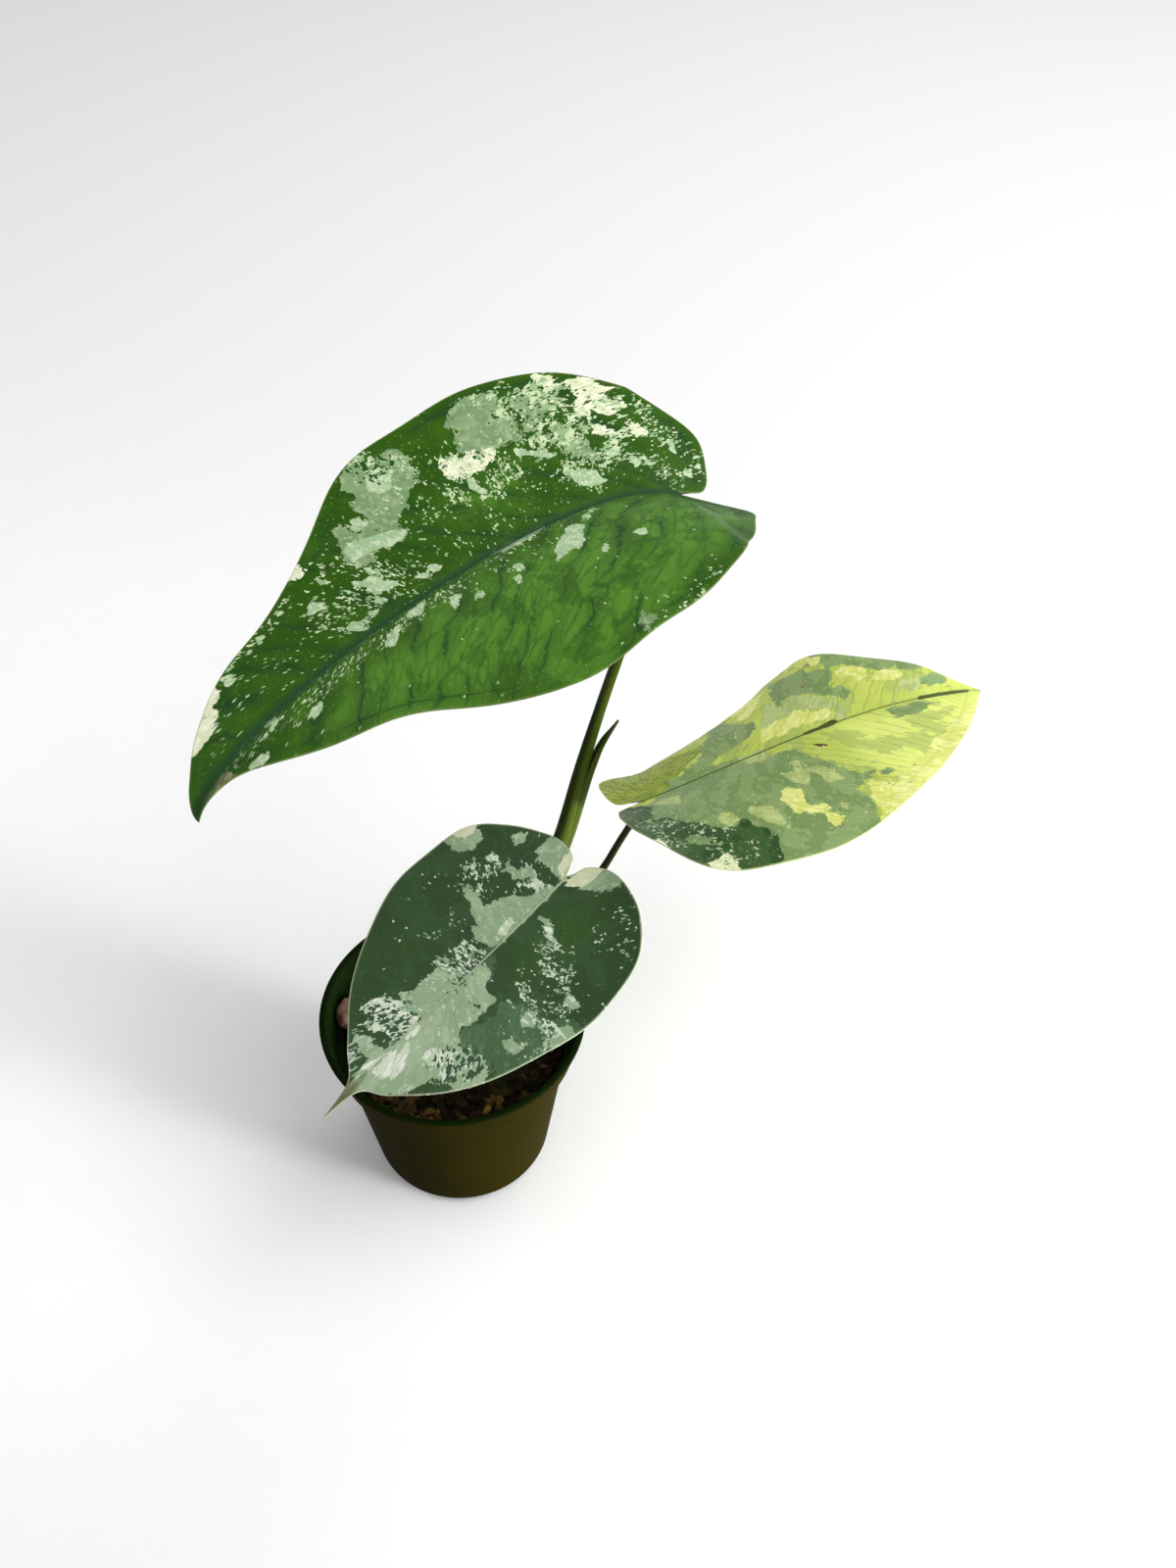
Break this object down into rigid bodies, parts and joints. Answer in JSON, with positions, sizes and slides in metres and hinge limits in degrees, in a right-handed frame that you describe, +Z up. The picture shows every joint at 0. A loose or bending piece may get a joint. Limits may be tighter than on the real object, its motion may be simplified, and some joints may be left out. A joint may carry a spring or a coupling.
{
  "type": "potted variegated aroid house plant",
  "caption": "Young variegated syngonium with heart-shaped leaves on long petioles, growing in bark mix in a round nursery pot.",
  "frame": {"origin": "centre of the pot's flat underside, on the surface it stands on", "axes": "+Z up along the pot's axis, -Y towards the side that the tip of the lowest leaf points to, +X to the right of it"},
  "size_m": [0.2748, 0.1987, 0.3343],
  "materials": {
    "pot_plastic": "satin",
    "bark_mix": "matte",
    "pale_bark": "matte",
    "stem_skin": "satin",
    "petiole_skin": "satin",
    "leaf_green": "satin",
    "leaf_lime": "satin",
    "leaf_dark": "satin"
  },
  "bodies": {
    "root": {"pot": "pot_plastic", "potting_mix": "bark_mix", "mix_nugget": "pale_bark", "stem": "stem_skin", "petiole_upper": "petiole_skin", "petiole_right": "petiole_skin", "petiole_front": "petiole_skin", "leaf_upper": "leaf_green", "leaf_right": "leaf_lime", "leaf_front": "leaf_dark"}
  },
  "joints": []
}
